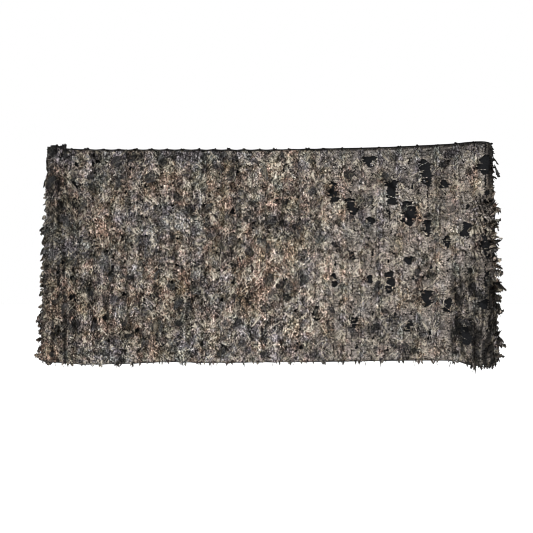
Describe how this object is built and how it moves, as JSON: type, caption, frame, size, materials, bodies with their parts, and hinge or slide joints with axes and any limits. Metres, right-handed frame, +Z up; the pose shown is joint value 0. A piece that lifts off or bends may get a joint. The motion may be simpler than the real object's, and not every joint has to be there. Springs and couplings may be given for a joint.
{
  "type": "leafy hunting blind cover",
  "caption": "Hanging camouflage cover: a wide dark net with upright rows of leaf-cut cloth sewn to it, bound along the top and bottom, with both ends turned back behind.",
  "frame": {"origin": "middle of the top edge, on the top binding's upper face, where the cover is held", "axes": "+X to the right as seen from the leaf side, +Y away from the leaf side, +Z up"},
  "size_m": [3.0788, 0.1909, 1.5261],
  "materials": {
    "net": "dark open-mesh netting",
    "tape": "narrow black woven tape",
    "leaf_cloth": "thin printed camouflage cloth in grey, brown, tan and near-black, cut into leaves"
  },
  "bodies": {
    "root": {"net": "net", "top_binding": "tape", "bottom_binding": "tape", "leaf_row_01": "leaf_cloth", "leaf_row_02": "leaf_cloth", "leaf_row_03": "leaf_cloth", "leaf_row_04": "leaf_cloth", "leaf_row_05": "leaf_cloth", "leaf_row_06": "leaf_cloth", "leaf_row_07": "leaf_cloth", "leaf_row_08": "leaf_cloth", "leaf_row_09": "leaf_cloth", "leaf_row_10": "leaf_cloth", "leaf_row_11": "leaf_cloth", "leaf_row_12": "leaf_cloth", "leaf_row_13": "leaf_cloth", "leaf_row_14": "leaf_cloth", "leaf_row_15": "leaf_cloth", "leaf_row_16": "leaf_cloth", "leaf_row_17": "leaf_cloth", "leaf_row_18": "leaf_cloth", "leaf_row_19": "leaf_cloth", "leaf_row_20": "leaf_cloth", "leaf_row_21": "leaf_cloth", "leaf_row_22": "leaf_cloth", "leaf_row_23": "leaf_cloth", "leaf_row_24": "leaf_cloth", "leaf_row_25": "leaf_cloth", "leaf_row_26": "leaf_cloth", "leaf_row_27": "leaf_cloth", "leaf_row_28": "leaf_cloth", "leaf_row_29": "leaf_cloth"}
  },
  "joints": []
}
